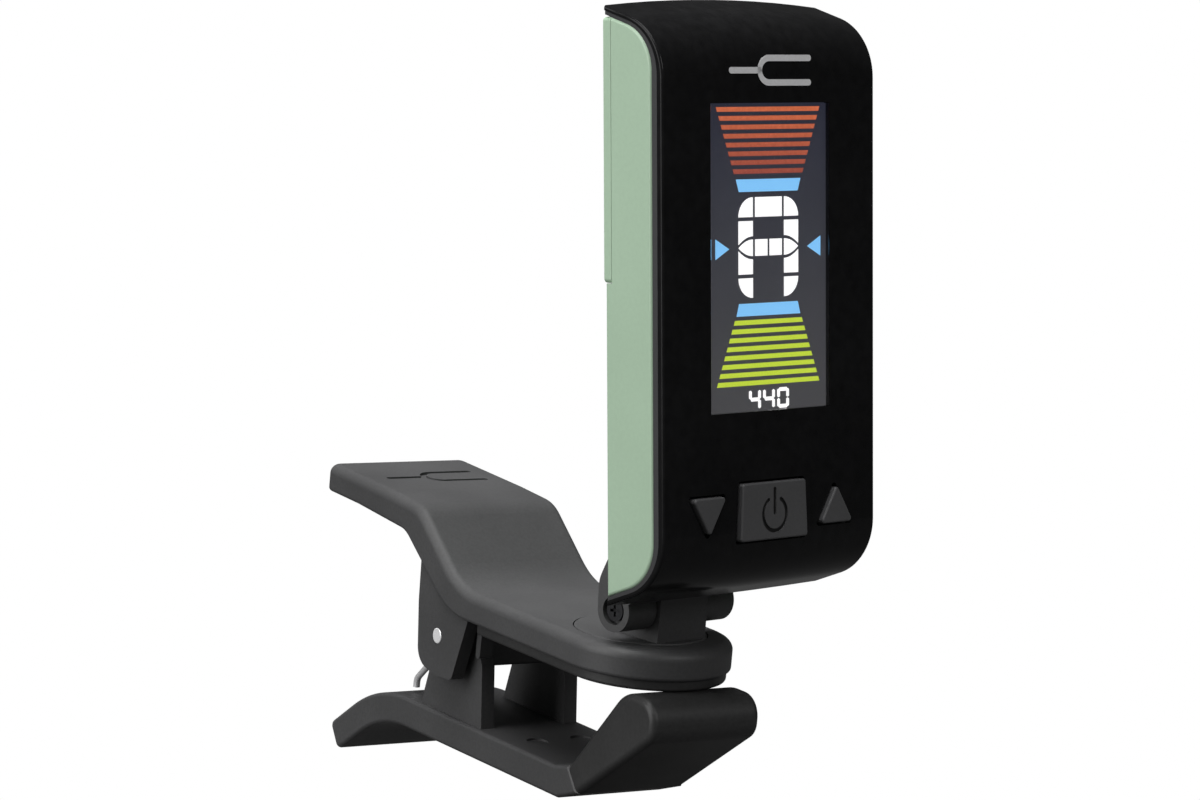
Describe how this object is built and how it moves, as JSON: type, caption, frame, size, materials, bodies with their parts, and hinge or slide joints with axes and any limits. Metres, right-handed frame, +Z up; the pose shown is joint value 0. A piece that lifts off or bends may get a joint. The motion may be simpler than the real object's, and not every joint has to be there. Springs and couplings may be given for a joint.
{
  "type": "clip-on instrument tuner",
  "caption": "Clip-on tuner for stringed instruments: spring clamp, swivel and tilt hinge, and an upright display head with buttons.",
  "frame": {"origin": "middle of the upper jaw pad's gripping face, where it meets the lower jaw's rubber nose", "axes": "+Z up with the display head upright, +X across the clip, the jaws towards -Y and the finger plates towards +Y"},
  "size_m": [0.0313, 0.068, 0.0776],
  "materials": {
    "gloss_black_plastic": "high gloss",
    "matte_black_plastic": "fine matt moulding",
    "green_plastic": "satin paint",
    "clip_plastic": "soft-touch matt",
    "pad_rubber": "smooth rubber",
    "button_rubber": "matt silicone",
    "clear_lens": "clear, gloss",
    "lcd_glass": "dark liquid crystal panel",
    "white_diffuser": "matt",
    "board_laminate": "solder mask",
    "chip_epoxy": "moulded epoxy",
    "connector_silicone": "layered silicone strip",
    "polished_steel": "bright",
    "spring_steel": "drawn wire",
    "black_steel": "blackened",
    "battery_steel": "nickel plated",
    "sensor_brass": "plain"
  },
  "bodies": {
    "clip_lever": {"upper_lever": "clip_plastic", "upper_jaw_pad": "pad_rubber", "clamp_pin": "polished_steel", "torsion_spring": "spring_steel", "swivel_washer": "spring_steel", "swivel_screw": "black_steel"},
    "clip_jaw": {"lower_jaw": "clip_plastic", "lower_jaw_pad": "pad_rubber"},
    "swivel": {"swivel_base": "clip_plastic"},
    "head": {"hinge_bracket": "clip_plastic", "hinge_screw": "black_steel", "hinge_nut": "black_steel", "hinge_washers": "spring_steel", "front_shell": "gloss_black_plastic", "mid_frame": "matte_black_plastic", "rear_housing": "green_plastic", "display_lens": "clear_lens", "lcd_panel": "lcd_glass", "backlight": "white_diffuser", "lcd_connector": "connector_silicone", "circuit_board": "board_laminate", "tuner_chip": "chip_epoxy", "button_switches": "battery_steel", "piezo_sensor": "sensor_brass", "coin_battery": "battery_steel", "negative_contact": "spring_steel", "positive_contact": "spring_steel", "housing_screws": "black_steel", "bracket_screws": "black_steel"},
    "battery_door": {"battery_door": "green_plastic"},
    "power_button": {"power_button": "button_rubber"},
    "down_button": {"down_button": "button_rubber"},
    "up_button": {"up_button": "button_rubber"}
  },
  "joints": [
    {"name": "clamp", "type": "hinge", "parent": "clip_lever", "child": "clip_jaw", "pos_m": [0, 0.03256, 0.00247], "axis": [1, 0, 0], "range_deg": [0, 28], "stiffness_Nm_per_rad": 0.02, "springref_deg": -57.3, "deforming": ["torsion_spring"]},
    {"name": "head_swivel", "type": "hinge", "parent": "clip_lever", "child": "swivel", "pos_m": [0, 0.00791, 0.00508], "axis": [0, -0.1305, 0.9914], "continuous": true},
    {"name": "head_tilt", "type": "hinge", "parent": "swivel", "child": "head", "pos_m": [0.00061, 0.00444, 0.00785], "axis": [0.981, 0.1926, 0.0254], "range_deg": [-75, 30]},
    {"name": "battery_door_hinge", "type": "hinge", "parent": "head", "child": "battery_door", "pos_m": [0.00099, -0.00167, 0.0396], "axis": [-0.981, -0.1926, -0.0254], "range_deg": [0, 50]},
    {"name": "power_press", "type": "slide", "parent": "head", "child": "power_button", "axis": [-0.1926, 0.9813, -0.0025], "range_m": [0, 0.00035], "stiffness_N_per_m": 1500, "springref_m": -0.0002},
    {"name": "down_press", "type": "slide", "parent": "head", "child": "down_button", "axis": [-0.1926, 0.9813, -0.0025], "range_m": [0, 0.00035], "stiffness_N_per_m": 1200, "springref_m": -0.0002},
    {"name": "up_press", "type": "slide", "parent": "head", "child": "up_button", "axis": [-0.1926, 0.9813, -0.0025], "range_m": [0, 0.00035], "stiffness_N_per_m": 1200, "springref_m": -0.0002}
  ]
}
